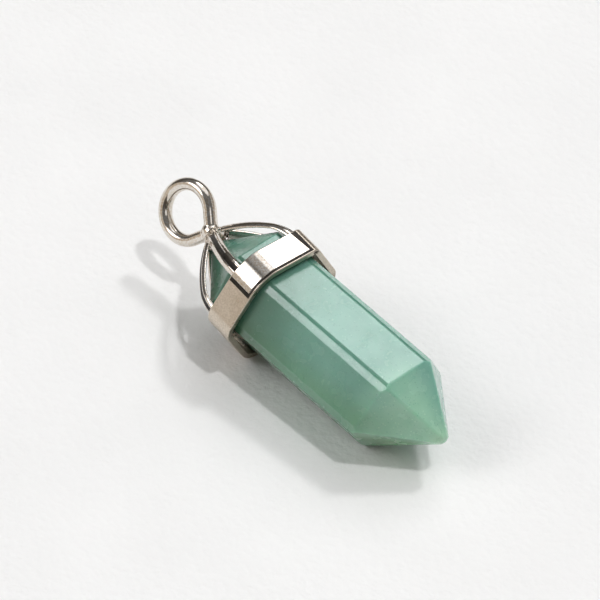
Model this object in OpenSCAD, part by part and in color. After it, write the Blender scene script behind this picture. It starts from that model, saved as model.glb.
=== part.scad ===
// Crystal pendant: a six-sided stone point held by a soldered metal cap with an eye ring.
// It lies on its side, with the eye toward -X, the tip toward +X and the surface at Z = 0.

/* [Crystal] */
// Width of the crystal across two opposite flats
crystal_flats = 9.8; // [8:0.2:12]
// Length of the straight six-sided part
prism_len = 20; // [14:1:30]
// Height of each point, measured to where its flat faces would meet
point_len = 6; // [5:0.1:7]
// How much nearer the lower point's underside starts than its upper side
tip_slant = 1.6; // [0:0.1:2]
// How much thicker the crystal is across its upper rear and lower front flats, as a share
crystal_swell = 0.02; // [0:0.01:0.04]
// Radius of the polished long edges
edge_round = 1.15; // [0.8:0.05:1.2]
// Radius of the blunted tips
tip_round = 0.5; // [0.3:0.05:0.7]
// How far the lower tip was ground off the middle line
tip_offset = 0.35; // [0:0.05:0.6]

/* [Band] */
// Width of the band along the crystal
band_width = 3; // [2:0.25:5]
// Thickness of the band's sheet
band_wall = 0.6; // [0.5:0.05:0.7]
// Clearance between the band and the crystal's flats
band_gap = 0.5; // [0.45:0.05:0.6]
// Distance from the crystal's upper shoulder to the band
band_start = 0.9; // [0.8:0.05:1.6]
// Outer radius of the band's plain corners
band_round = 2; // [1.8:0.1:2.4]
// Outer radius of its upper front corner, under the lapped end
lap_round = 3.4; // [2:0.1:3.6]
// Outer radius of its upper rear corner, which is folded sharply
fold_round = 0.8; // [0.8:0.1:2]

/* [Arms] */
// Width of each arm
arm_width = 1.3; // [1:0.1:1.5]
// Thickness of each arm, flat inside and rounded outside
arm_thick = 0.42; // [0.38:0.02:0.46]
// Radius of the bend that takes each arm over the crystal's shoulder
arm_bend = 5.5; // [5:0.1:6.5]
// How far that bend turns, in degrees
arm_bend_turn = 33; // [28:1:36]
// How far the upper front arm sits below its corner of the band, in degrees
front_arm_shift = 10; // [0:1:12]

/* [Eye] */
// Bore of the eye ring
eye_bore = 4.2; // [3:0.1:5]
// Thickness of the eye ring's wire from the bore outwards
eye_wire = 1.1; // [0.9:0.05:1.3]
// Depth of the eye ring's wire along the bore
eye_depth = 1.3; // [1.2:0.05:2]
// How far the eye ring is turned from the band's nearest flat, in degrees
eye_turn = 0; // [0:1:60]
// Diameter of the solder neck
neck_dia = 1.9; // [1.7:0.1:2.1]

/* [Fit] */
// How far the cap leans off the crystal's axis, in degrees
cap_lean = 4.4; // [0:0.2:4.4]
// How far the crystal sits turned inside the cap, in degrees
crystal_turn = 0; // [0:0.5:4]

/* [Hidden] */
$fn = 48;

stone_green = "#7FAE98";
silver_metal = "#C9C6C2";

// Six-sided section: the corners' own centres lie on a circle of this radius
function corner_ring(flats, round) = (flats / 2 - round) / cos(30);

// Angles round the axis, from straight up toward the rear
rear_flat = 60;
cap_leans_toward = 40;
tip_lies_toward = 75;

// Crystal sections run along X from the upper shoulder at 0
arc_steps = 4;
point_slope = atan(crystal_flats / 2 / point_len);
shoulder_soft = 0.3;
shoulder_steps = 3;
tip_steps = 4;
blunt_shares = [0.2, 0.45, 0.7];
rounding_share = 0.9;
tip_centre = tip_round / sin(point_slope);
tip_end = point_len - tip_centre + tip_round;

// Band section
band_end = band_start + band_width;
band_inner = crystal_flats + 2 * band_gap;
band_outer = band_inner + 2 * band_wall;
band_rounds = [band_round, fold_round, lap_round, band_round, band_round, band_round];

// Neck, just clear of the crystal's upper tip
neck_clear = 0.12;
neck_x = -(tip_end + neck_clear + neck_dia / 2);

// Solder cup that carries the arms' ends: [distance from the neck's middle, radius]
cup_outline = [[0, 0], [0, 0.85], [0.7, 1.55], [1.25, 1.5], [0.95, 0.75], [0.95, 0]];

// An arm's outer line is a bend over the shoulder and then a flatter arc down to the cup
arm_bury = 0.35;
arm_clear = 0.33;
foot_depth = 0.78;
foot_radius = 1.45;
corner_of_crystal = corner_ring(crystal_flats, edge_round) + edge_round;
arm_top = [band_start + arm_bury, corner_of_crystal + arm_clear + arm_thick];
arm_foot = [neck_x + foot_depth, foot_radius];
bend_end = arm_top - arm_bend * [sin(arm_bend_turn), 1 - cos(arm_bend_turn)];
reach = bend_end - arm_foot;
arc_turn = 2 * (atan2(reach[1], reach[0]) - arm_bend_turn);
arc_radius = norm(reach) / 2 / sin(arc_turn / 2);
arm_section_radius = (arm_width * arm_width / 4 + arm_thick * arm_thick) / 2 / arm_thick;

// The flatter arc is a hair slimmer than the bend and starts inside it
arc_slim = 0.01;
arc_overlap = 0.3;

// Eye ring, a round wire ring whose two ends run straight into the neck
eye_radius = eye_bore / 2 + eye_wire / 2;
limb_reach = 1.345;
limb_bury = 0.1;
eye_to_neck = limb_reach * eye_radius;
limb_angle = asin(eye_radius / eye_to_neck);
limb_len = sqrt(eye_to_neck * eye_to_neck - eye_radius * eye_radius);
eye_x = neck_x + limb_bury - eye_to_neck;
eye_flat_angle = 60;

// The cap leans about the middle of the band
pivot_x = band_start + band_width / 2;
lean_way = [0, sin(cap_leans_toward), cos(cap_leans_toward)];
function leaned_point(p) =
    let (
        along = p[0] - pivot_x,
        across = p * lean_way,
        new_along = along * cos(cap_lean) + across * sin(cap_lean),
        new_across = across * cos(cap_lean) - along * sin(cap_lean)
    )
    p + [new_along - along, 0, 0] + (new_across - across) * lean_way;

// Share of the lower point that lies beyond x, and how far its slant moves a point at x and z
function share_left(x) = 1 - max(x - prism_len, 0) / point_len;
function slant_move(x, z) = x < prism_len / 2 ? 0 : tip_slant * (z / crystal_flats - share_left(x) / 2);

// Points of a rounded hexagon, lying near the plane at x and moved by off in that plane
function hex_section(x, half, round, off) = [
    for (corner = [0 : 5], step = [0 : arc_steps])
        let (
            middle = 30 + 60 * corner,
            turn = middle - 30 + 60 * step / arc_steps,
            ring = corner_ring(2 * half, round),
            y = ring * sin(middle) + round * sin(turn),
            z = ring * cos(middle) + round * cos(turn),
            swell = crystal_swell * (y * sin(rear_flat) + z * cos(rear_flat))
        )
        [
            x + slant_move(x, z),
            y + swell * sin(rear_flat) + off[0],
            z + swell * cos(rear_flat) + off[1]
        ]
];

// One half of the crystal, from its shoulder out to the tip: [distance, half flats, rounding]
function point_rows() = concat(
    [
        for (step = [0 : shoulder_steps])
            let (along = 2 * shoulder_soft * step / shoulder_steps)
            [
                along - shoulder_soft,
                crystal_flats / 2 - tan(point_slope) * along * along / (4 * shoulder_soft),
                edge_round
            ]
    ],
    [
        for (share = blunt_shares)
            let (half = crystal_flats / 2 * (1 - share))
            [
                point_len * share,
                half,
                min(edge_round * (1 - share) + tip_round * share, rounding_share * half)
            ]
    ],
    [
        for (step = [0 : tip_steps - 1])
            let (
                angle = point_slope + (90 - point_slope) * step / tip_steps,
                half = tip_round * cos(angle)
            )
            [point_len - tip_centre + tip_round * sin(angle), half, rounding_share * half]
    ]
);

// Joins rows of points into a closed solid with a single point at each end
module loft(rows, first_tip, last_tip) {
    count = len(rows[0]);
    last = len(rows) - 1;
    points = concat([first_tip], [for (row = rows) each row], [last_tip]);
    end = len(points) - 1;
    faces = concat(
        [for (i = [0 : count - 1]) [0, 1 + i, 1 + (i + 1) % count]],
        [
            for (row = [0 : last - 1], i = [0 : count - 1])
                let (a = 1 + row * count + i, b = 1 + row * count + (i + 1) % count)
                [a, a + count, b + count, b]
        ],
        [for (i = [0 : count - 1]) [end, 1 + last * count + (i + 1) % count, 1 + last * count + i]]
    );
    polyhedron(points = points, faces = faces, convexity = 4);
}

module crystal_body() {
    rows = point_rows();
    toward_rear = tip_offset * [sin(tip_lies_toward), cos(tip_lies_toward)];
    upper = [
        for (i = [len(rows) - 1 : -1 : 0]) hex_section(-rows[i][0], rows[i][1], rows[i][2], [0, 0])
    ];
    lower = [
        for (row = rows)
            hex_section(
                prism_len + row[0], row[1], row[2], max(row[0], 0) / point_len * toward_rear
            )
    ];
    loft(
        concat(upper, lower),
        [-tip_end, 0, 0],
        concat([prism_len + tip_end], tip_end / point_len * toward_rear)
    );
}

// Hexagon across the given flats, with the rounding of each corner from the rear one upwards
module rounded_hexagon(flats, rounds) {
    centres = [
        for (corner = [0 : 5])
            corner_ring(flats, rounds[corner]) * [cos(60 * corner), sin(60 * corner)]
    ];
    polygon(centres);
    for (corner = [0 : 5]) {
        next = (corner + 1) % 6;
        out = [cos(60 * corner + 30), sin(60 * corner + 30)];
        translate(centres[corner]) circle(r = rounds[corner]);
        polygon([
            centres[corner],
            centres[corner] + rounds[corner] * out,
            centres[next] + rounds[next] * out,
            centres[next]
        ]);
    }
}

module band() {
    translate([band_start, 0, 0])
        rotate([0, 90, 0])
            rotate(90)
                linear_extrude(height = band_width)
                    difference() {
                        rounded_hexagon(band_outer, band_rounds);
                        rounded_hexagon(band_inner, [for (round = band_rounds) round - band_wall]);
                    }
}

// Curved bar of half-round section, bent about Z from the angle start on, its outer line at radius
module arm_arc(radius, start, turn, slim) {
    rotate(start)
        rotate_extrude(angle = turn)
            intersection() {
                translate([radius - arm_section_radius, 0]) circle(r = arm_section_radius - slim);
                translate([radius - arm_thick + slim, -arm_width]) square(2 * arm_width);
            }
}

// One arm, in the XZ plane above the axis
module arm() {
    rotate([90, 0, 0]) {
        translate([arm_top[0], arm_top[1] - arm_bend])
            arm_arc(arm_bend, 90, arm_bend_turn, 0);
        translate(bend_end + arc_radius * [sin(arm_bend_turn), -cos(arm_bend_turn)])
            arm_arc(arc_radius, 90 + arm_bend_turn - arc_overlap, arc_turn + arc_overlap, arc_slim);
    }
}

module neck() {
    translate([neck_x, 0, 0]) sphere(d = neck_dia);
    rotate([0, 90, 0])
        rotate_extrude()
            polygon([for (point = cup_outline) [point[1], neck_x + point[0]]]);
}

module wire_section() {
    square([eye_wire, eye_depth - eye_wire], center = true);
    for (side = [-1, 1])
        translate([0, side * (eye_depth - eye_wire) / 2]) circle(d = eye_wire);
}

// The eye ring lies in the XY plane here, with its limbs toward +X
module eye_ring() {
    open_half = 90 - limb_angle;
    rotate(open_half)
        rotate_extrude(angle = 360 - 2 * open_half)
            translate([eye_radius, 0]) wire_section();
    for (side = [0, 1])
        mirror([0, side, 0])
            rotate(open_half)
                translate([eye_radius, 0, 0])
                    rotate([90, 0, 0])
                        linear_extrude(height = limb_len) wire_section();
}

module bail() {
    for (corner = [0 : 5])
        rotate([30 + 60 * corner + (corner == 0 ? front_arm_shift : 0), 0, 0]) arm();
    neck();
    translate([eye_x, 0, 0])
        rotate([eye_flat_angle + eye_turn, 0, 0]) eye_ring();
}

module leaned() {
    translate([pivot_x, 0, 0])
        rotate([-cap_leans_toward, 0, 0])
            rotate([0, cap_lean, 0])
                rotate([cap_leans_toward, 0, 0])
                    translate([-pivot_x, 0, 0]) children();
}

// Resting: the band's lower edge and the crystal's lower shoulder touch the surface
function lowest(points) = [for (p = points) if (p[2] == min([for (q = points) q[2]])) p][0];
band_touch = lowest([
    for (side = [-1, 1])
        leaned_point([band_end, side * corner_ring(band_outer, band_round) / 2, -band_outer / 2])
]);
turned_shoulder = [
    for (p = hex_section(prism_len - shoulder_soft, crystal_flats / 2, edge_round, [0, 0]))
        [p[0], p[1], p[2] * cos(crystal_turn) - p[1] * sin(crystal_turn)]
];
crystal_touch = lowest(turned_shoulder);
pitch = atan((crystal_touch[2] - band_touch[2]) / (crystal_touch[0] - band_touch[0]));
lift = band_touch[0] * sin(pitch) - band_touch[2] * cos(pitch);
reach_tip = (prism_len + tip_end) * cos(pitch);
reach_eye = (eye_x - eye_radius - eye_wire / 2) * cos(pitch);
centre_x = (reach_tip + reach_eye) / 2;

module resting() {
    translate([-centre_x, 0, lift]) rotate([0, pitch, 0]) children();
}

module crystal_point() {
    color(stone_green) resting() rotate([-crystal_turn, 0, 0]) crystal_body();
}

module bail_cap() {
    color(silver_metal)
        resting() leaned() {
            band();
            bail();
        }
}

crystal_point();
bail_cap();
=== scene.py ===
"""Aventurine crystal pendant, lying on a pale surface.

The stone and its cap are modelled in millimetres along X, from the stone's hidden shoulder at 0, and are
then set down in the part's own frame, in metres.
"""

import sys
import logging
from dataclasses import dataclass
from enum import Enum
from math import asin, atan2, cos, degrees, pi, radians, sin, sqrt, tan
from typing import Any, Callable, Sequence

import bmesh
import bpy
from mathutils import Matrix, Vector


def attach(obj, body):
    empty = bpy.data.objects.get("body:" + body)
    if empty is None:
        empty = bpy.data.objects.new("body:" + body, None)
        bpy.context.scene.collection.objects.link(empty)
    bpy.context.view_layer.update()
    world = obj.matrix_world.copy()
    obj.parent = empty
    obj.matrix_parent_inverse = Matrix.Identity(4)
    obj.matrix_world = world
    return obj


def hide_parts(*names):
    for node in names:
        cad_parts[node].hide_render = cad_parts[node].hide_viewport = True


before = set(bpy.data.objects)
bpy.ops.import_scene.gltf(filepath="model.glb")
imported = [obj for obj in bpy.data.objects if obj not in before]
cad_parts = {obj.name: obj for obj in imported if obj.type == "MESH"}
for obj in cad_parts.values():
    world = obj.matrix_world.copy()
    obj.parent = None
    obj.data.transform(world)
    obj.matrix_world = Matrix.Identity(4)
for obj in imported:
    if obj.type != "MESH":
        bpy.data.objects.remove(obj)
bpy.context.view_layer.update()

LOG = logging.getLogger("pendant")

Triple = tuple[float, float, float]
Rgba = tuple[float, float, float, float]
Piece = bpy.types.Object
Material = bpy.types.Material
Tree = bpy.types.NodeTree
Node = bpy.types.Node
Socket = bpy.types.NodeSocket
Edge = bmesh.types.BMEdge
Face = bpy.types.MeshPolygon
Inputs = dict[str | int, Any]

# The part's frame is in metres, and the pieces are modelled in millimetres
MM = 0.001
# Places nearer to each other than this are the same, in millimetres
NEAR = 0.001
# A face looks along X when its normal has at least this much of X
FACING = 0.9
# Turn from one corner of a hexagon to the next, in degrees
CORNER_TURN = 60.0
# Rotation that lays a primitive's own axis along X
ALONG_X = (0.0, radians(90), 0.0)
# Vertices round a wire or an arm
WIRE_STEPS = 28
# How far the larger faces lead the shading of the rounded edges beside them: 50 is not at all
FACE_WEIGHT = 80


class Pick(Enum):
    """What an edit-mode selection is made of."""

    VERTS = "VERT"
    EDGES = "EDGE"
    FACES = "FACE"


class Slot(Enum):
    """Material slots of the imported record."""

    STONE = "aventurine"
    METAL = "plated_metal"


class Polish(Enum):
    """How far the plated metal was polished."""

    BRIGHT = "bright"
    SATIN = "satin"


# Shared tools


def linear(colour: str) -> Rgba:
    """Turns an sRGB hex colour into linear values.

    Args:
        colour: Six hex digits after a hash sign.

    Returns:
        Linear red, green and blue, with full opacity.
    """
    parts = [int(colour[i : i + 2], 16) / 255 for i in (1, 3, 5)]
    red, green, blue = (p / 12.92 if p <= 0.04045 else ((p + 0.055) / 1.055) ** 2.4 for p in parts)
    return red, green, blue, 1.0


def add_node(
    tree: Tree,
    kind: str,
    inputs: Inputs | None = None,
    stops: Sequence[tuple[float, Any]] = (),
    **settings: Any,
) -> Node:
    """Adds a node with its settings and links.

    Args:
        tree: Node tree that gets the node.
        kind: Blender's name for the kind of node, without its ShaderNode.
        inputs: Values, output sockets or nodes, by the name or number of the input. A node stands for
            its first output in use.
        stops: Positions and colours of a colour ramp.
        **settings: Properties of the node.

    Returns:
        The new node.
    """
    node = tree.nodes.new(f"ShaderNode{kind}")
    for name, value in settings.items():
        setattr(node, name, value)
    for key, value in (inputs or {}).items():
        if isinstance(value, Node):
            value = next(socket for socket in value.outputs if socket.enabled)
        if isinstance(value, Socket):
            tree.links.new(value, node.inputs[key])
        else:
            node.inputs[key].default_value = value
    if stops:
        ramp = node.color_ramp.elements
        while len(ramp) < len(stops):
            ramp.new(0.5)
        for element, (position, colour) in zip(ramp, stops):
            element.position, element.color = position, colour
    return node


def pattern(place: Socket, size_mm: float, detail: float) -> Inputs:
    """Works out the inputs of a pattern from the real size of what it shows.

    Args:
        place: Place on the piece.
        size_mm: Size of one cloud, cell or grain.
        detail: How many finer layers it has.

    Returns:
        Inputs of a noise or cell node.
    """
    return {"Vector": place, "Scale": 1 / (size_mm * MM), "Detail": detail}


def spread(value: Node | Socket, start: float, end: float, low: float = 0.0, high: float = 1.0) -> Inputs:
    """Works out the inputs of a node that spreads a value over a range.

    Args:
        value: Value to spread.
        start: Value that gives the first result.
        end: Value that gives the last result.
        low: First result.
        high: Last result.

    Returns:
        Inputs of a range node.
    """
    return {"Value": value, "From Min": start, "From Max": end, "To Min": low, "To Max": high}


def cut_off(spot: Sequence[float], outward: Sequence[float]) -> None:
    """Cuts off what lies beyond a plane in the piece in edit mode, and closes the cut.

    Args:
        spot: A point of the plane.
        outward: Normal of the plane, toward what is cut off.
    """
    pick_all()
    bpy.ops.mesh.bisect(plane_co=spot, plane_no=outward, use_fill=True, clear_outer=True)


def new_material(name: str) -> tuple[Material, Tree, Socket]:
    """Makes a material whose nodes give only the place on the piece.

    Args:
        name: Name of the material.

    Returns:
        The material, its node tree and the socket with the place.
    """
    material = bpy.data.materials.new(name)
    material.use_nodes = True
    tree = material.node_tree
    tree.nodes.clear()
    return material, tree, add_node(tree, "TexCoord").outputs["Object"]


def leave_edit() -> None:
    """Leaves edit mode."""
    bpy.ops.object.mode_set(mode="OBJECT")


def deselect_all() -> None:
    """Leaves object mode with nothing selected."""
    if bpy.context.object and bpy.context.object.mode != "OBJECT":
        leave_edit()
    bpy.ops.object.select_all(action="DESELECT")


def activate(piece: Piece) -> None:
    """Selects one object alone and makes it active.

    Args:
        piece: Object to select.
    """
    deselect_all()
    piece.select_set(True)
    bpy.context.view_layer.objects.active = piece


def edit(piece: Piece) -> None:
    """Opens one object in edit mode, picking vertices, with nothing selected.

    Args:
        piece: Object to open.
    """
    activate(piece)
    bpy.ops.object.mode_set(mode="EDIT")
    bpy.ops.mesh.select_mode(type=Pick.VERTS.value)
    bpy.ops.mesh.select_all(action="DESELECT")


def pick(piece: Piece, what: Pick, test: Callable[[Any], bool]) -> None:
    """Selects what passes a test, and nothing else, in edit mode.

    Args:
        piece: Object in edit mode.
        what: Kind of element to select.
        test: Says whether an element is picked.
    """
    bpy.ops.mesh.select_mode(type=what.value)
    bpy.ops.mesh.select_all(action="DESELECT")
    mesh = bmesh.from_edit_mesh(piece.data)
    mesh.normal_update()
    elements = {Pick.VERTS: mesh.verts, Pick.EDGES: mesh.edges, Pick.FACES: mesh.faces}[what]
    for element in [element for element in elements if test(element)]:
        element.select_set(True)
    mesh.select_flush_mode()
    bmesh.update_edit_mesh(piece.data)


def pick_all() -> None:
    """Selects everything in edit mode."""
    bpy.ops.mesh.select_all(action="SELECT")


def middle(edge: Edge) -> Vector:
    """Middle point of an edge."""
    return (edge.verts[0].co + edge.verts[1].co) / 2


def finish_modifier(piece: Piece, kind: str, **settings: Any) -> None:
    """Adds a modifier with its settings and applies it.

    Args:
        piece: Object that gets it.
        kind: Blender's name for the kind of modifier.
        **settings: Properties of the modifier.
    """
    activate(piece)
    modifier = piece.modifiers.new(kind.title(), kind)
    for name, value in settings.items():
        setattr(modifier, name, value)
    bpy.ops.object.modifier_apply(modifier=modifier.name)


def set_down(piece: Piece, place: Matrix) -> None:
    """Moves a finished piece to its place and writes that place into its mesh.

    Args:
        piece: Finished piece.
        place: Where it goes.
    """
    activate(piece)
    piece.matrix_world = place
    bpy.ops.object.transform_apply()


def join(pieces: Sequence[Piece], name: str) -> Piece:
    """Joins objects into the first of them.

    Args:
        pieces: Objects to join.
        name: New name of the first.

    Returns:
        The joined object.
    """
    activate(pieces[0])
    for piece in pieces[1:]:
        piece.select_set(True)
    bpy.ops.object.join()
    pieces[0].name = pieces[0].data.name = name
    return pieces[0]


def dress(piece: Piece, materials: Sequence[Material]) -> None:
    """Gives a piece its materials, in the order that its faces number them.

    Args:
        piece: Piece to dress.
        materials: Its materials.
    """
    piece.data.materials.clear()
    for material in materials:
        piece.data.materials.append(material)


def hex_bar(flats: float, start: float, length: float) -> Piece:
    """Adds a six-sided bar along X, with a flat side up.

    Args:
        flats: Size over the flat sides.
        start: Place of its first end along X.
        length: Length of the bar.

    Returns:
        The bar, open in edit mode.
    """
    deselect_all()
    bpy.ops.mesh.primitive_cylinder_add(
        vertices=6,
        radius=flats / 2 / cos(radians(CORNER_TURN / 2)),
        depth=length,
        end_fill_type="NGON",
        location=(start + length / 2, 0, 0),
        rotation=ALONG_X,
    )
    bar = bpy.context.active_object
    bpy.ops.object.transform_apply()
    edit(bar)
    return bar


def wire_outline(radius: float, spot: Triple, turn: Triple) -> Piece:
    """Adds the open outline of a wire, to be run along its route.

    Args:
        radius: Radius of the outline.
        spot: Middle of the outline.
        turn: Rotation of the outline, whose own axis is Z.

    Returns:
        The outline, open in edit mode with all of it selected.
    """
    deselect_all()
    bpy.ops.mesh.primitive_circle_add(
        vertices=WIRE_STEPS, radius=radius, fill_type="NOTHING", location=spot, rotation=turn
    )
    outline = bpy.context.active_object
    bpy.ops.object.transform_apply()
    edit(outline)
    pick_all()
    return outline


def close_wire() -> None:
    """Closes the ends of the wire in edit mode, turns its faces outwards and leaves edit mode."""
    pick_all()
    bpy.ops.mesh.fill_holes(sides=0)
    pick_all()
    bpy.ops.mesh.normals_make_consistent(inside=False)
    leave_edit()


def turn_of(spot: Vector) -> float:
    """Angle of a point about the pendant's axis, in degrees from the top toward the front, -Y."""
    return degrees(atan2(-spot.y, spot.z))


def axis_turn(turn: float) -> Matrix:
    """Turn about the pendant's axis that takes +Z toward the front, -Y, for an angle in degrees."""
    return Matrix.Rotation(radians(turn), 4, "X")


# Placement


@dataclass(frozen=True)
class Rest:
    """How the pendant lies: the cap's lean on the stone, and the pitch and height of both on the surface.

    Sizes are in millimetres and angles in degrees, as the part's source works them out.
    """

    pivot: float = 2.4
    lean: float = 4.4
    lean_toward: float = 40.0
    pitch: float = 4.50465
    lift: float = 6.34955
    centre: float = 6.11393

    def laid(self) -> Matrix:
        """Place of anything modelled in millimetres along the axis."""
        turn = Matrix.Rotation(radians(self.pitch), 4, "Y")
        return Matrix.Scale(MM, 4) @ Matrix.Translation((-self.centre, 0, self.lift)) @ turn

    def cap(self) -> Matrix:
        """Place of the cap.

        Returns:
            The stone's place with a lean about the middle of the band.
        """
        out = Matrix.Translation((self.pivot, 0, 0)) @ axis_turn(-self.lean_toward)
        back = axis_turn(self.lean_toward) @ Matrix.Translation((-self.pivot, 0, 0))
        return self.laid() @ out @ Matrix.Rotation(radians(self.lean), 4, "Y") @ back


# Finishes


@dataclass(frozen=True)
class PaintedLightTint:
    """A region of painted light on the stone: a gain above one paints a glow, a gain below one paints
    shade.

    The gain multiplies red, green and blue. Each span names an axis of the part's frame, with the places
    in millimetres where the tint starts and where it is full.
    """

    gain: Triple
    spans: tuple[tuple[str, float, float], ...]

    def over(self, tree: Tree, spot: Node, colour: Node) -> Node:
        """Lays the painted light over the stone's colour.

        Args:
            tree: Node tree of the stone.
            spot: Node that splits the place on the stone.
            colour: Colour so far.

        Returns:
            Node that mixes the tint in.
        """
        share: Node | float = 1.0
        for axis, start, full in self.spans:
            inputs = spread(spot.outputs[axis], start * MM, full * MM)
            reach = add_node(tree, "MapRange", inputs, interpolation_type="SMOOTHSTEP")
            share = add_node(tree, "Math", {0: share, 1: reach}, operation="MULTIPLY")
        return add_node(
            tree,
            "Mix",
            {"Factor": share, 6: colour, 7: (*self.gain, 1.0)},
            data_type="RGBA",
            blend_type="MULTIPLY",
        )


@dataclass(frozen=True)
class PolishedAventurine:
    """Green aventurine quartz, tumbled and polished.

    Light enters the waxy stone a millimetre or so and comes back soft and green, cloudy veins and fine
    mica flecks show under the skin, and the polish lays a clear, even gloss over it. Real flecks are finer
    than a pixel, so they are drawn 0.2 mm wide.
    """

    deep: str = "#6C9F8F"
    body: str = "#74A797"
    pale: str = "#7CAD9E"
    fleck: str = "#93C0B2"
    speck: str = "#568977"
    cloud_mm: float = 4.5
    fleck_mm: float = 0.2
    wave_mm: float = 1.6
    grain_mm: float = 0.28
    depth_mm: float = 1.1
    # Painted light: a painted glow on the lit tip and on its thin end, and painted shade on the lower
    # front side, the tip's lower edge, and the end by the cap
    painted_lights: tuple[PaintedLightTint, ...] = (
        PaintedLightTint((1.85, 1.48, 1.36), (("X", 11.0, 17.5), ("Y", 2.4, -0.8))),
        PaintedLightTint((1.25, 1.1, 1.08), (("X", 17.8, 19.3),)),
        PaintedLightTint((0.76, 0.81, 0.66), (("Z", 8.6, 5.8), ("Y", 0.0, -1.5), ("X", 17.5, 12.5))),
        PaintedLightTint((0.76, 0.81, 0.66), (("Z", 4.8, 2.8), ("Y", 0.0, -1.5), ("X", 11.0, 14.0))),
        PaintedLightTint((0.45, 0.5, 0.44), (("X", 6.0, -2.0), ("Y", 5.0, -4.5))),
    )

    def colour(self, tree: Tree, place: Socket) -> Node:
        """Mixes the stone's colour: clouds, flecks, the painted shade line round the upper flat, and the
        painted glow and shade.

        Args:
            tree: Node tree of the stone.
            place: Place on the stone.

        Returns:
            Node with the mixed colour.
        """
        cloud = add_node(
            tree, "TexNoise", {**pattern(place, self.cloud_mm, 4.0), "Roughness": 0.6, "Distortion": 0.2}
        )
        colour = add_node(
            tree,
            "ValToRGB",
            {"Fac": cloud},
            stops=[(0.3, linear(self.deep)), (0.5, linear(self.body)), (0.72, linear(self.pale))],
        )
        cells = add_node(tree, "TexVoronoi", pattern(place, self.fleck_mm, 0.0))
        chance = add_node(tree, "SeparateColor", {"Color": cells.outputs["Color"]})
        small = add_node(tree, "MapRange", spread(cells, 0.2, 0.42, 1.0, 0.0))
        for channel, rarity, tone in (("Red", 0.86, self.fleck), ("Green", 0.8, self.speck)):
            inputs = spread(chance.outputs[channel], rarity, rarity + 0.04, 0.0, 0.5)
            chosen = add_node(tree, "MapRange", inputs)
            here = add_node(tree, "Math", {0: small, 1: chosen}, operation="MULTIPLY")
            colour = add_node(tree, "Mix", {"Factor": here, 6: colour, 7: linear(tone)}, data_type="RGBA")
        # Painted shade: a dark line where the rounding round the upper flat starts
        rim = add_node(tree, "Attribute", attribute_name="painted_rim_shade")
        colour = add_node(
            tree, "Mix", {"Factor": rim.outputs["Fac"], 6: colour, 7: linear(self.speck)}, data_type="RGBA"
        )
        # Painted glow on the tip, and painted shade low on the front and by the cap
        spot = add_node(tree, "SeparateXYZ", {"Vector": place})
        for tint in self.painted_lights:
            colour = tint.over(tree, spot, colour)
        return colour

    def material(self) -> Material:
        """Builds the node material.

        Returns:
            The material.
        """
        material, tree, place = new_material("aventurine_polished")
        wave = add_node(tree, "TexNoise", pattern(place, self.wave_mm, 2.0))
        gloss = add_node(tree, "MapRange", spread(wave, 0.3, 0.7, 0.2, 0.3))
        wavy = add_node(tree, "Bump", {"Height": wave, "Strength": 0.1, "Distance": 0.012 * MM})
        grain = add_node(tree, "TexNoise", pattern(place, self.grain_mm, 2.0))
        pitted = add_node(
            tree, "Bump", {"Height": grain, "Strength": 0.3, "Distance": 0.005 * MM, "Normal": wavy}
        )
        shader = add_node(
            tree,
            "BsdfPrincipled",
            {
                "Base Color": self.colour(tree, place),
                "Roughness": gloss,
                "IOR": 1.544,
                "Normal": pitted,
                "Coat Normal": pitted,
                "Coat Weight": 0.4,
                "Coat Roughness": 0.16,
                "Subsurface Weight": 0.75,
                "Subsurface Radius": (0.55, 1.0, 0.75),
                "Subsurface Scale": self.depth_mm * MM,
            },
            subsurface_method="RANDOM_WALK",
        )
        add_node(tree, "OutputMaterial", {"Surface": shader})
        return material


@dataclass(frozen=True)
class Surface:
    """What one polish leaves: its range of roughness, and the grit's pits, tops and relief."""

    roughness: tuple[float, float]
    pits: str
    tops: str
    relief: float


SURFACES = {
    Polish.BRIGHT: Surface((0.07, 0.13), "#ECE3D7", "#FFFFFF", 0.15),
    Polish.SATIN: Surface((0.26, 0.36), "#DAD1C4", "#EDE5DA", 0.6),
}


@dataclass(frozen=True)
class PlatedMetal:
    """Brass stamped, soldered and rhodium-tone plated.

    The plating is a warm silver mirror. Where it was left satin, a fine grit blurs what it mirrors. Real
    grit is finer than a pixel, so it is drawn 0.17 mm wide.
    """

    polish: Polish
    worn: str = "#DDD8D1"
    colour: str = "#E8E4DF"
    grit_mm: float = 0.17
    patch_mm: float = 1.8

    def material(self) -> Material:
        """Builds the node material.

        Returns:
            The material.
        """
        surface = SURFACES[self.polish]
        material, tree, place = new_material(f"plated_metal_{self.polish.value}")
        grit = add_node(tree, "TexNoise", pattern(place, self.grit_mm, 3.0))
        patch = add_node(tree, "TexNoise", pattern(place, self.patch_mm, 2.0))
        tone = add_node(
            tree, "ValToRGB", {"Fac": patch}, stops=[(0.3, linear(self.worn)), (0.65, linear(self.colour))]
        )
        sheen = add_node(
            tree,
            "ValToRGB",
            {"Fac": grit},
            stops=[(0.36, linear(surface.pits)), (0.62, linear(surface.tops))],
        )
        gritty = add_node(
            tree, "Mix", {"Factor": 1.0, 6: tone, 7: sheen}, data_type="RGBA", blend_type="MULTIPLY"
        )
        gloss = add_node(tree, "MapRange", spread(patch, 0.3, 0.7, *surface.roughness))
        bump = add_node(tree, "Bump", {"Height": grit, "Strength": surface.relief, "Distance": 0.012 * MM})
        shader = add_node(
            tree,
            "BsdfPrincipled",
            {"Base Color": gritty, "Metallic": 1.0, "Roughness": gloss, "Normal": bump},
        )
        add_node(tree, "OutputMaterial", {"Surface": shader})
        return material


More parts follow.
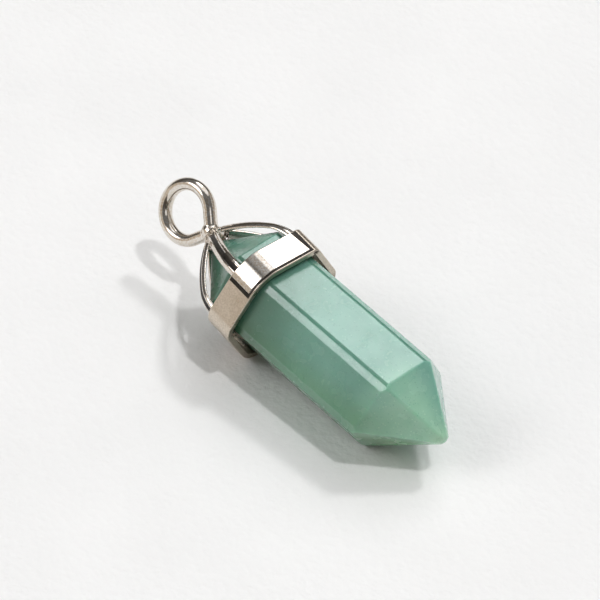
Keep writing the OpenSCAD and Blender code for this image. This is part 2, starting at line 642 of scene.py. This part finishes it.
@dataclass(frozen=True)
class PaintedSeamShade:
    """Painted shade and painted dark reflection: a dark colour put in the band's seam and in the arms'
    grooves, which reads as a dark drawn line.
    """

    shade_deep: str = "#1E1A17"
    shade_pale: str = "#3A342E"
    patch_mm: float = 0.5

    def material(self) -> Material:
        """Builds the node material.

        Returns:
            The material.
        """
        material, tree, place = new_material("painted_seam_shade")
        patch = add_node(tree, "TexNoise", pattern(place, self.patch_mm, 3.0))
        tone = add_node(
            tree, "ValToRGB", {"Fac": patch}, stops=[(0.35, linear(self.shade_deep)), (0.7, linear(self.shade_pale))]
        )
        shader = add_node(tree, "BsdfPrincipled", {"Base Color": tone, "Metallic": 0.6, "Roughness": 0.45})
        add_node(tree, "OutputMaterial", {"Surface": shader})
        return material


@dataclass(frozen=True)
class MattPaper:
    """Heavy uncoated paper: off-white, with a faint tooth that only shows in raking light.

    Real tooth is finer than a pixel, so it is drawn 0.8 mm wide.
    """

    colour: str = "#EBEBEA"
    shade: str = "#E8E8E7"
    tooth_mm: float = 0.8
    shade_mm: float = 14.0

    def material(self) -> Material:
        """Builds the node material.

        Returns:
            The material.
        """
        material, tree, place = new_material("paper_matt")
        tooth = add_node(tree, "TexNoise", pattern(place, self.tooth_mm, 4.0))
        shade = add_node(tree, "TexNoise", pattern(place, self.shade_mm, 3.0))
        tone = add_node(
            tree,
            "ValToRGB",
            {"Fac": shade},
            stops=[(0.35, linear(self.shade)), (0.65, linear(self.colour))],
        )
        bump = add_node(tree, "Bump", {"Height": tooth, "Strength": 0.7, "Distance": 0.2 * MM})
        shader = add_node(tree, "BsdfPrincipled", {"Base Color": tone, "Roughness": 0.85, "Normal": bump})
        add_node(tree, "OutputMaterial", {"Surface": shader})
        return material


# The stone


@dataclass
class CrystalPoint:
    """The stone: a hexagonal prism with a six-sided point at each end, in millimetres and degrees.

    The widths are those of the roundings that the polish left on the edges. The front and rear chamfers
    beside the upper flat have their own turn and depth.
    """

    flats: float = 9.766
    prism: float = 20.0
    point: float = 6.0
    fullness: float = 0.1
    hidden_end: float = 5.6
    blunt: float = 0.62
    slant: float = 1.6
    swell: float = 1.02
    tip_offset: float = 0.35
    tip_toward: float = 75.0
    chamfer: float = 0.3
    front_chamfer: tuple[float, float] = (40.0, 0.225)
    rear_chamfer: tuple[float, float] = (-37.0, 0.3)
    rim_width: float = 0.24
    side_width: float = 0.07
    small_edge: float = 1.2
    shoulder_width: float = 0.12
    shoulder_reach: float = 0.5
    ridge_width: float = 0.16
    tip_width: float = 0.24
    rounding_steps: int = 5
    # Turns, tilt and darkness of the painted shade line round the upper flat
    shade_line_turns: tuple[float, float] = (2.0, 28.0)
    shade_line_tilt: float = 3.0
    shade_line_strength: float = 0.85
    upright: float = 0.95
    finish: PolishedAventurine = PolishedAventurine()

    def ground_blank(self) -> Piece:
        """Grinds the plain faceted form.

        Returns:
            The blank, with sharp edges and both points cut blunt.
        """
        stone = hex_bar(self.flats, 0.0, self.prism)
        pick(stone, Pick.FACES, lambda face: abs(face.normal.x) > FACING)
        bpy.ops.mesh.poke()
        side = radians(self.tip_toward)
        tip_move = (self.point, self.tip_offset * sin(side), self.tip_offset * cos(side))
        for end, move in ((0.0, (-self.point - self.fullness, 0, 0)), (self.prism, tip_move)):
            pick(stone, Pick.VERTS, lambda vert: (vert.co - Vector((end, 0, 0))).length < NEAR)
            bpy.ops.transform.translate(value=move)
        for height, drop in ((0.0, self.slant / 2), (-self.flats / 2, self.slant)):
            pick(
                stone,
                Pick.VERTS,
                lambda vert: abs(vert.co.x - self.prism) < NEAR and abs(vert.co.z - height) < NEAR,
            )
            bpy.ops.transform.translate(value=(-drop, 0, 0))
        for end, outward in ((-self.hidden_end, -1), (self.prism + self.point - self.blunt, 1)):
            cut_off((end, 0, 0), (outward, 0, 0))
        pick_all()
        turn = radians(CORNER_TURN)
        bpy.ops.transform.rotate(value=turn, orient_axis="X", center_override=(0, 0, 0))
        bpy.ops.transform.resize(value=(1, 1, self.swell), center_override=(0, 0, 0))
        bpy.ops.transform.rotate(value=-turn, orient_axis="X", center_override=(0, 0, 0))
        leave_edit()
        return stone

    def chamfers(self, stone: Piece) -> None:
        """Grinds a narrow facet along each of the six long edges.

        Args:
            stone: The blank.
        """
        edit(stone)
        corners: dict[float, Vector] = {}
        for vert in stone.data.vertices:
            if vert.co.yz.length > self.flats / 4:
                corner = round(turn_of(vert.co) / CORNER_TURN - 0.5) * CORNER_TURN + CORNER_TURN / 2
                corners[corner] = vert.co.copy()
        own = {CORNER_TURN / 2: self.front_chamfer, -CORNER_TURN / 2: self.rear_chamfer}
        for corner, spot in corners.items():
            turn, depth = own.get(corner, (corner, self.chamfer))
            normal = axis_turn(turn).to_3x3() @ Vector((0, 0, 1))
            cut_off(normal * (spot.dot(normal) - depth), normal)
        leave_edit()

    def edge_width(self, edge: Edge) -> float:
        """Finds how wide the polish rounded one edge.

        Args:
            edge: Edge of the chamfered blank.

        Returns:
            Width of its rounding.
        """
        start, end = (vert.co for vert in edge.verts)
        nearest, farthest = sorted((start.x, end.x))
        if farthest - nearest > self.prism / 2:
            on_top = max(face.normal.z for face in edge.link_faces) > self.upright
            return self.rim_width if on_top else self.side_width
        if nearest > self.prism + self.point / 2:
            return self.tip_width
        if (start - end).length < self.small_edge:
            return self.side_width
        past_shoulder = nearest < -self.shoulder_reach or farthest > self.prism + self.shoulder_reach
        return self.ridge_width if past_shoulder else self.shoulder_width

    def polish(self, stone: Piece) -> None:
        """Rounds every edge by its own width and smooths the shading.

        Args:
            stone: The chamfered blank.
        """
        edit(stone)
        mesh = bmesh.from_edit_mesh(stone.data)
        mesh.normal_update()
        layers = mesh.edges.layers.float
        weights = layers.get("bevel_weight_edge") or layers.new("bevel_weight_edge")
        for edge in mesh.edges:
            edge[weights] = self.edge_width(edge) / self.rim_width
        bmesh.update_edit_mesh(stone.data)
        leave_edit()
        finish_modifier(
            stone,
            "BEVEL",
            limit_method="WEIGHT",
            offset_type="OFFSET",
            use_clamp_overlap=False,
            width=self.rim_width,
            segments=self.rounding_steps,
            profile=0.5,
        )
        activate(stone)
        bpy.ops.object.shade_smooth()
        finish_modifier(stone, "WEIGHTED_NORMAL", weight=FACE_WEIGHT, keep_sharp=True)

    def paint_rim_shade(self, stone: Piece) -> None:
        """Paints a dark line of painted shade where the rounding round the upper flat starts.

        Args:
            stone: The polished stone.
        """
        mesh = stone.data
        rim_shades = mesh.attributes.new("painted_rim_shade", "FLOAT", "FACE")
        first, last = self.shade_line_turns
        for face in mesh.polygons:
            tilt = abs(degrees(asin(max(-1.0, min(1.0, face.normal.x)))))
            in_shade_line = tilt < self.shade_line_tilt and first < abs(turn_of(face.normal)) < last
            rim_shades.data[face.index].value = self.shade_line_strength if in_shade_line else 0.0

    def build(self, rest: Rest) -> Piece:
        """Models, dresses and sets down the stone.

        Args:
            rest: How the pendant lies.

        Returns:
            The finished piece.
        """
        stone = self.ground_blank()
        self.chamfers(stone)
        self.polish(stone)
        self.paint_rim_shade(stone)
        stone.name = stone.data.name = "crystal_stone"
        set_down(stone, rest.laid())
        dress(stone, (self.finish.material(),))
        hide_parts("crystal_point")
        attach(stone, "root")
        return stone


# The cap


@dataclass
class HexBand:
    """The band round the stone, and the plate lapped over its upper side, in millimetres and degrees."""

    flats: float = 12.0
    wall: float = 0.55
    start: float = 0.9
    width: float = 3.0
    rounding: float = 2.0
    lap_rounding: float = 3.4
    fold_rounding: float = 0.8
    rounding_steps: int = 16
    rim_round: float = 0.09
    lap_height: float = 0.06
    lap_thick: float = 0.2
    lap_round: float = 0.05
    lap_margin: float = 0.1
    lap_angles: tuple[float, float] = (-21.6, 45.8)
    lap_slope: float = -0.1
    fold_angle: float = -26.8
    seam: float = 0.22
    seam_angle: float = 4.0
    rim_line: float = 0.14
    smooth_angle: float = 35.0
    lap_edge_angle: float = 60.0
    corner_angle: float = 50.0
    corner_reach: float = 5.0
    rim_reach: float = 0.1
    seam_reach: float = 0.25

    def blank(self, flats: float, start: float, width: float) -> Piece:
        """Bends sheet round six corners.

        Args:
            flats: Size over the outer flats.
            start: Place of the ring-side rim along X.
            width: Width of the sheet.

        Returns:
            A solid six-sided bar, open in edit mode.
        """
        bar = hex_bar(flats, start, width)
        half_turn = CORNER_TURN / 2
        own = ((half_turn, self.lap_rounding), (-half_turn, self.fold_rounding))
        for corner, rounding in (*own, (None, self.rounding)):
            pick(bar, Pick.EDGES, lambda edge: self.on_corner(edge, corner))
            bpy.ops.mesh.bevel(
                offset=rounding * tan(radians(half_turn)),
                offset_type="OFFSET",
                segments=self.rounding_steps,
                affect="EDGES",
            )
        return bar

    def on_corner(self, edge: Edge, corner: float | None) -> bool:
        """Finds the sharp edges along the bar.

        Args:
            edge: Edge of the bar.
            corner: Turn of the corner about the axis, or None for any corner.

        Returns:
            Whether the edge is a sharp one at the corner.
        """
        along = edge.verts[1].co - edge.verts[0].co
        if abs(along.x) < NEAR or edge.calc_face_angle() < radians(self.corner_angle):
            return False
        return corner is None or abs(turn_of(middle(edge)) - corner) < self.corner_reach

    def cut(self, piece: Piece, turn: float, side: int = 0, slope: float = 0.0) -> None:
        """Cuts along a plane through the axis.

        Args:
            piece: Object in edit mode.
            turn: Angle of the plane about the axis.
            side: Sign of the side that is dropped, or 0 to keep both.
            slope: How far the cut wanders round the band per length of the band.
        """
        angle = radians(turn)
        normal = Vector((-slope, -cos(angle), -sin(angle))) * (side or 1)
        pick(piece, Pick.FACES, lambda face: True)
        bpy.ops.mesh.bisect(plane_co=(self.start, 0, 0), plane_no=normal, clear_outer=bool(side))

    def sheet(self) -> Piece:
        """Makes the band itself, open to its wall thickness, with softened rims.

        Returns:
            The band, cut where the plate and its seam begin and end.
        """
        band = self.blank(self.flats - 2 * self.lap_height, self.start, self.width)
        pick(band, Pick.FACES, lambda face: abs(face.normal.x) > FACING)
        bpy.ops.mesh.inset(thickness=self.wall, depth=0.0)
        bpy.ops.mesh.bridge_edge_loops()
        pick(band, Pick.EDGES, self.on_outer_rim)
        bpy.ops.mesh.bevel(offset=self.rim_round, offset_type="OFFSET", segments=4, affect="EDGES")
        for place in (self.start + self.lap_margin, self.start + self.width - self.rim_line):
            pick(band, Pick.FACES, lambda face: True)
            bpy.ops.mesh.bisect(plane_co=(place, 0, 0), plane_no=(1, 0, 0))
        for turn in (self.fold_angle, self.lap_angles[1] + self.seam_angle):
            self.cut(band, turn)
        leave_edit()
        return band

    def on_outer_rim(self, edge: Edge) -> bool:
        """Finds the edges round the outside of both ends.

        Args:
            edge: Edge of the band.

        Returns:
            Whether the edge is one of them.
        """
        start, end = (vert.co for vert in edge.verts)
        at_end = min(abs(start.x - self.start), abs(start.x - self.start - self.width)) < NEAR
        outside = min(start.yz.length, end.yz.length) > self.flats / 2 - self.rim_reach
        return at_end and abs(start.x - end.x) < NEAR and outside

    def plate(self) -> Piece:
        """Makes the lapped plate.

        Returns:
            A sheet over the upper corners, thickened and softened.
        """
        start = self.start + self.lap_margin
        plate = self.blank(self.flats, start, self.width - self.lap_margin - self.rim_line - self.seam)
        pick(plate, Pick.FACES, lambda face: abs(face.normal.x) > FACING)
        bpy.ops.mesh.delete(type="FACE")
        self.cut(plate, self.lap_angles[1], 1)
        self.cut(plate, self.lap_angles[0], -1, self.lap_slope)
        leave_edit()
        edge_angle = radians(self.lap_edge_angle)
        finish_modifier(plate, "SOLIDIFY", thickness=self.lap_thick, offset=-1.0, use_even_offset=True)
        finish_modifier(plate, "BEVEL", width=self.lap_round, segments=3, angle_limit=edge_angle)
        return plate

    def in_seam(self, face: Face) -> bool:
        """Finds the faces of the sheet under the plate and in the seam beside it, which get painted shade.

        Args:
            face: Face of the sheet.

        Returns:
            Whether the face is one of them.
        """
        spot = face.center
        inside = self.start + self.lap_margin < spot.x < self.start + self.width - self.rim_line
        outer = spot.yz.length > self.flats / 2 - self.seam_reach
        return inside and outer and self.fold_angle < turn_of(spot) < self.lap_angles[1] + self.seam_angle

    def build(self, rest: Rest, materials: Sequence[Material]) -> Piece:
        """Models, dresses and sets down the band.

        Args:
            rest: How the pendant lies.
            materials: Satin sheet, bright plating and the painted seam shade.

        Returns:
            The finished piece.
        """
        satin, bright, seam = materials
        sheet, plate = self.sheet(), self.plate()
        dress(sheet, (satin, seam))
        dress(plate, (bright,))
        # Faces in the seam get the painted shade
        for face in sheet.data.polygons:
            face.material_index = int(self.in_seam(face))
        band = join((sheet, plate), "hex_band")
        bpy.ops.object.shade_smooth_by_angle(angle=radians(self.smooth_angle))
        finish_modifier(band, "WEIGHTED_NORMAL", weight=FACE_WEIGHT, keep_sharp=True)
        set_down(band, rest.cap())
        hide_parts("bail_cap")
        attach(band, "root")
        return band


@dataclass
class CapBail:
    """Six bowed arms, the solder neck and the eye ring, fused, in millimetres and degrees."""

    arm_turns: tuple[float, ...] = (40.0, 90.0, 150.0, 210.0, 270.0, 330.0)
    arm_width: float = 1.4
    arm_thick: float = 0.5
    belly: float = 0.03
    swelling: float = 1.06
    swelling_shares: tuple[float, ...] = (0.15, 0.15, 0.7)
    arm_start: float = 1.25
    arm_top: float = 6.23
    bend: float = 5.5
    bend_turn: float = 33.0
    bend_steps: int = 16
    flat_steps: int = 24
    foot: tuple[float, float] = (-6.0, 1.45)
    neck: float = -6.78
    neck_dia: float = 1.9
    neck_lap: float = 0.1
    eye_radius: float = 2.68
    eye_wire: float = 1.26
    eye_depth: float = 1.45
    eye_reach: float = 1.279
    eye_angle: float = 60.0
    eye_droop: float = 5.0
    eye_steps: int = 72
    skirt: tuple[float, float] = (0.85, 1.45)
    skirt_rim: float = 0.3
    groove: float = 0.46
    groove_depth: float = 0.12
    groove_shift: float = 0.12
    groove_end: float = -5.5
    groove_facing: float = 0.2
    voxel: float = 0.066

    def arm(self) -> Piece:
        """Bends one half-round arm in the XZ plane.

        It leaves the band on a tight bend, then runs on a flatter one to its foot at the neck, and swells
        a little on its way.

        Returns:
            The arm, straight above the axis.
        """
        inner = self.arm_top - self.arm_thick
        root = (self.arm_start, 0, inner)
        arm = wire_outline(self.arm_width / 2, root, ALONG_X)
        bpy.ops.transform.resize(value=(1, 1, 2 * self.arm_thick / self.arm_width), center_override=root)
        pick(arm, Pick.VERTS, lambda vert: vert.co.z < inner - NEAR)
        bpy.ops.transform.resize(value=(1, 1, self.belly), center_override=root)
        pick(arm, Pick.VERTS, lambda vert: vert.co.z > inner and self.grooved(vert.co.y))
        bpy.ops.transform.translate(value=(0, 0, -self.groove_depth))
        turn = radians(self.bend_turn)
        bend_centre = Vector((self.arm_start, 0, self.arm_top - self.bend))
        bend_end = bend_centre + self.bend * Vector((-sin(turn), 0, cos(turn)))
        reach = bend_end - Vector((self.foot[0], 0, self.foot[1]))
        flat_turn = 2 * (atan2(reach.z, reach.x) - turn)
        flat_radius = reach.length / 2 / sin(flat_turn / 2)
        flat_centre = bend_end + flat_radius * Vector((sin(turn), 0, -cos(turn)))
        pick_all()
        bpy.ops.mesh.spin(steps=self.bend_steps, angle=turn, center=bend_centre, axis=(0, 1, 0))
        for share in self.swelling_shares:
            outer = flat_centre + flat_radius * Vector((-sin(turn), 0, cos(turn)))
            bpy.ops.transform.resize(value=(self.swelling, 1, self.swelling), center_override=outer)
            bpy.ops.mesh.spin(
                steps=round(self.flat_steps * share),
                angle=share * flat_turn,
                center=flat_centre,
                axis=(0, 1, 0),
            )
            turn += share * flat_turn
        close_wire()
        return arm

    def grooved(self, across: float) -> bool:
        """Says whether a place across an arm lies in its groove."""
        return abs(across - self.groove_shift) < self.groove / 2

    def eye_ring(self) -> Piece:
        """Bends the wire round the eye and runs its ends to the neck.

        Returns:
            The ring, turned and drooping as it sits on the neck.
        """
        reach = self.eye_reach * self.eye_radius
        open_half = pi / 2 - asin(self.eye_radius / reach)
        limb = sqrt(reach**2 - self.eye_radius**2)
        last = 2 * pi - 2 * open_half
        ring = wire_outline(self.eye_wire / 2, (self.eye_radius, 0, 0), (radians(90), 0, 0))
        bpy.ops.transform.resize(value=(1, 1, self.eye_depth / self.eye_wire))
        bpy.ops.mesh.extrude_region_move(TRANSFORM_OT_translate={"value": (0, -limb, 0)})
        pick(ring, Pick.VERTS, lambda vert: abs(vert.co.y) < NEAR)
        bpy.ops.mesh.spin(steps=self.eye_steps, angle=last, center=(0, 0, 0), axis=(0, 0, -1))
        bpy.ops.mesh.extrude_region_move(
            TRANSFORM_OT_translate={"value": (-limb * sin(last), limb * cos(last), 0)}
        )
        close_wire()
        place = (
            Matrix.Translation((self.neck + self.neck_lap, 0, 0))
            @ axis_turn(self.eye_angle)
            @ Matrix.Rotation(radians(self.eye_droop), 4, "Z")
            @ Matrix.Translation((-reach, 0, 0))
            @ Matrix.Rotation(open_half, 4, "Z")
        )
        set_down(ring, place)
        return ring

    def solder(self) -> list[Piece]:
        """Flows the solder.

        Returns:
            A bead at the neck, and the skirt that it ran into on the arms.
        """
        deselect_all()
        bpy.ops.mesh.primitive_uv_sphere_add(
            segments=32, ring_count=16, radius=self.neck_dia / 2, location=(self.neck, 0, 0)
        )
        bead = bpy.context.active_object
        length, radius = self.skirt
        deselect_all()
        bpy.ops.mesh.primitive_cone_add(
            vertices=48,
            radius1=radius,
            radius2=self.neck_dia / 2 - self.neck_lap,
            depth=length,
            location=(self.neck + self.neck_lap + length / 2, 0, 0),
            rotation=(0, radians(-90), 0),
        )
        skirt = bpy.context.active_object
        edit(skirt)
        pick(skirt, Pick.FACES, lambda face: len(face.verts) > 4)
        bpy.ops.mesh.inset(thickness=self.skirt_rim, depth=0.0)
        leave_edit()
        bpy.ops.object.transform_apply()
        return [bead, skirt]

    def arms(self) -> list[Piece]:
        """Sets the arms round the stone.

        Returns:
            One arm and its copies, each turned to its place.
        """
        arms = [self.arm()]
        for _ in self.arm_turns[1:]:
            copied = arms[0].copy()
            copied.data = arms[0].data.copy()
            bpy.context.scene.collection.objects.link(copied)
            arms.append(copied)
        for arm, turn in zip(arms, self.arm_turns):
            set_down(arm, axis_turn(turn))
        return arms

    def in_groove(self, face: Face) -> bool:
        """Finds the faces in the groove along the outside of each arm, which get a painted dark
        reflection.

        Args:
            face: Face of the fused bail.

        Returns:
            Whether the face is one of them.
        """
        spot = face.center
        radius = spot.yz.length
        if spot.x < self.groove_end or face.normal.yz.dot(spot.yz) < self.groove_facing * radius:
            return False
        nearest = min(((turn_of(spot) - turn + 180) % 360 - 180 for turn in self.arm_turns), key=abs)
        return self.grooved(-radius * sin(radians(nearest)))

    def build(self, rest: Rest, materials: Sequence[Material]) -> Piece:
        """Models, fuses, dresses and sets down the bail.

        Args:
            rest: How the pendant lies.
            materials: Bright plating and the painted dark reflection for the grooves.

        Returns:
            The finished piece.
        """
        bail = join((self.eye_ring(), *self.solder(), *self.arms()), "cap_bail")
        finish_modifier(bail, "REMESH", mode="VOXEL", voxel_size=self.voxel, adaptivity=0.0)
        finish_modifier(bail, "SMOOTH", factor=0.5, iterations=8)
        activate(bail)
        bpy.ops.object.shade_smooth()
        dress(bail, materials)
        # Faces in the arms' grooves get a painted dark reflection
        for face in bail.data.polygons:
            face.material_index = int(self.in_groove(face))
        set_down(bail, rest.cap())
        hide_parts("bail_cap")
        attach(bail, "root")
        return bail


# The studio


def heading(azimuth: float, elevation: float) -> Vector:
    """Finds the direction of a light or of the camera.

    Args:
        azimuth: Turn from +X toward +Y, in degrees.
        elevation: Height over the horizon, in degrees.

    Returns:
        Unit vector toward it.
    """
    level = cos(radians(elevation))
    turn = radians(azimuth)
    return Vector((cos(turn) * level, sin(turn) * level, sin(radians(elevation))))


@dataclass(frozen=True)
class KeyLamp:
    """A diffused lamp, far off, that throws the shadows. Angles are in degrees."""

    azimuth: float
    elevation: float
    size: float
    strength: float
    tint: Triple = (1.0, 0.997, 1.008)

    def build(self) -> None:
        """Adds the lamp. The boxes stand for it in the mirrors, so it is kept out of them."""
        light = bpy.data.lights.new("key", "SUN")
        light.energy = self.strength
        light.angle = radians(self.size)
        light.color = self.tint
        lamp = bpy.data.objects.new("key", light)
        bpy.context.scene.collection.objects.link(lamp)
        toward = heading(self.azimuth, self.elevation)
        lamp.rotation_euler = toward.to_track_quat("Z", "Y").to_euler()
        lamp.location = toward / 2
        lamp.visible_glossy = False


@dataclass(frozen=True)
class SoftBox:
    """A round soft light, far off. Angles are in degrees."""

    azimuth: float
    elevation: float
    radius: float
    radiance: float
    tint: Triple = (1.0, 0.997, 1.008)
    soft_edge: float = 4.0

    def add(self, tree: Tree, ray: Socket, room: Node) -> Node:
        """Adds the light to the room's colour.

        Args:
            tree: Node tree of the world.
            ray: Direction that is looked at.
            room: Colour so far.

        Returns:
            Node that adds the light.
        """
        toward = heading(self.azimuth, self.elevation)
        near = add_node(tree, "VectorMath", {0: ray, 1: toward}, operation="DOT_PRODUCT")
        outside, inside = (cos(radians(self.radius + edge)) for edge in (self.soft_edge, -self.soft_edge))
        inputs = spread(near, outside, inside, 0.0, self.radiance)
        share = add_node(tree, "MapRange", inputs, interpolation_type="SMOOTHSTEP")
        return add_node(tree, "VectorMath", {0: self.tint, 1: share, 2: room}, operation="MULTIPLY_ADD")


@dataclass(frozen=True)
class Studio:
    """Pale floor, soft light and the camera. Angles are in degrees and lengths in millimetres.

    Each wall is an elevation with the red, green and blue radiance of the room there.
    """

    camera_azimuth: float = 45.27
    camera_elevation: float = 44.43
    camera_roll: float = 2.71
    camera_distance: float = 400.0
    camera_sensor: float = 36.0
    pixels_per_mm: float = 10.784
    aim: Triple = (-0.1325, 0.0, 5.8783)
    aim_pixel: tuple[float, float] = (298.39, 317.62)
    frame_pixels: int = 600
    floor_size: float = 3000.0
    backdrop: Triple = (0.82, 0.82, 0.82)
    walls: tuple[tuple[float, Triple], ...] = (
        (2.0, (0.16, 0.14, 0.12)),
        (9.0, (0.1, 0.09, 0.075)),
        (22.0, (0.09, 0.085, 0.08)),
        (31.0, (0.165, 0.165, 0.165)),
        (56.0, (0.165, 0.165, 0.165)),
        (61.0, (0.19, 0.19, 0.19)),
        (90.0, (0.2, 0.2, 0.2)),
    )
    boxes: tuple[SoftBox, ...] = (
        SoftBox(112.0, 56.0, 25.0, 0.95),
        SoftBox(128.0, 46.0, 9.0, 3.9),
        SoftBox(228.0, 44.0, 15.5, 2.6),
        SoftBox(170.0, 70.0, 14.0, 0.25),
        SoftBox(350.0, 37.0, 11.0, 0.9),
        SoftBox(238.0, 41.0, 8.0, 3.1),
        SoftBox(244.0, 4.0, 34.0, 0.5, (1.0, 0.9, 0.78)),
        SoftBox(64.0, 6.0, 34.0, 0.32, (1.0, 0.93, 0.84)),
    )
    lamps: tuple[KeyLamp, ...] = (KeyLamp(90.0, 56.0, 6.0, 0.79), KeyLamp(21.0, 71.0, 4.0, 0.91))

    def floor(self) -> None:
        """Lays the surface."""
        deselect_all()
        bpy.ops.mesh.primitive_grid_add(
            x_subdivisions=4, y_subdivisions=4, size=self.floor_size * MM, location=(0, 0, 0)
        )
        floor = bpy.context.active_object
        floor.name = floor.data.name = "paper_floor"
        dress(floor, (MattPaper().material(),))

    def surroundings(self) -> None:
        """Lights the room by its walls and soft boxes. The camera sees an even backdrop in their place."""
        world = bpy.data.worlds.new("studio")
        bpy.context.scene.world = world
        world.use_nodes = True
        tree = world.node_tree
        tree.nodes.clear()
        ray = add_node(tree, "TexCoord").outputs["Generated"]
        height = add_node(tree, "SeparateXYZ", {"Vector": ray})
        share = add_node(tree, "MapRange", spread(height.outputs["Z"], -1.0, 1.0))
        lit = add_node(
            tree,
            "ValToRGB",
            {"Fac": share},
            stops=[
                ((sin(radians(elevation)) + 1) / 2, (*radiance, 1.0))
                for elevation, radiance in self.walls
            ],
        )
        for box in self.boxes:
            lit = box.add(tree, ray, lit)
        seen = add_node(tree, "LightPath")
        colour = add_node(
            tree,
            "Mix",
            {"Factor": seen.outputs["Is Camera Ray"], 6: lit, 7: (*self.backdrop, 1.0)},
            data_type="RGBA",
        )
        light = add_node(tree, "Background", {"Color": colour, "Strength": 1.0})
        add_node(tree, "OutputWorld", {"Surface": light})

    def camera(self) -> None:
        """Sets up the camera so that the aimed point falls on its pixel."""
        azimuth = radians(self.camera_azimuth)
        toward = heading(self.camera_azimuth - 90, self.camera_elevation)
        roll = Matrix.Rotation(radians(self.camera_roll), 3, toward)
        right = roll @ Vector((cos(azimuth), sin(azimuth), 0))
        up = toward.cross(right)
        half = self.frame_pixels / 2
        centre = (
            Vector(self.aim)
            + right * (half - self.aim_pixel[0]) / self.pixels_per_mm
            + up * (self.aim_pixel[1] - half) / self.pixels_per_mm
        )
        data = bpy.data.cameras.new("camera")
        data.sensor_width = self.camera_sensor
        data.lens = self.pixels_per_mm * self.camera_distance * data.sensor_width / self.frame_pixels
        data.clip_start, data.clip_end = 0.01, 10.0
        camera = bpy.data.objects.new("camera", data)
        bpy.context.scene.collection.objects.link(camera)
        camera.location = (centre + toward * self.camera_distance) * MM
        camera.rotation_euler = Matrix((right, up, toward)).transposed().to_euler()
        bpy.context.scene.camera = camera

    def build(self) -> None:
        """Sets up floor, light, camera and tone curve."""
        self.floor()
        self.surroundings()
        for lamp in self.lamps:
            lamp.build()
        self.camera()
        bpy.context.scene.view_settings.view_transform = "Standard"


def report(piece: Piece) -> None:
    """Logs a piece's size and number of faces."""
    size = [round(value / MM, 2) for value in piece.dimensions]
    LOG.info("%s: %s mm, %d faces", piece.name, size, len(piece.data.polygons))


def main() -> None:
    logging.basicConfig(level=logging.INFO, format="%(name)s: %(message)s", stream=sys.stdout)
    rest = Rest()
    bright = PlatedMetal(Polish.BRIGHT).material()
    satin = PlatedMetal(Polish.SATIN).material()
    # Painted shade for the band's seam, and painted dark reflection for the arms' grooves
    seam = PaintedSeamShade().material()
    report(CrystalPoint().build(rest))
    report(HexBand().build(rest, (satin, bright, seam)))
    report(CapBail().build(rest, (bright, seam)))
    Studio().build()
    deselect_all()


if __name__ == "__main__":
    main()
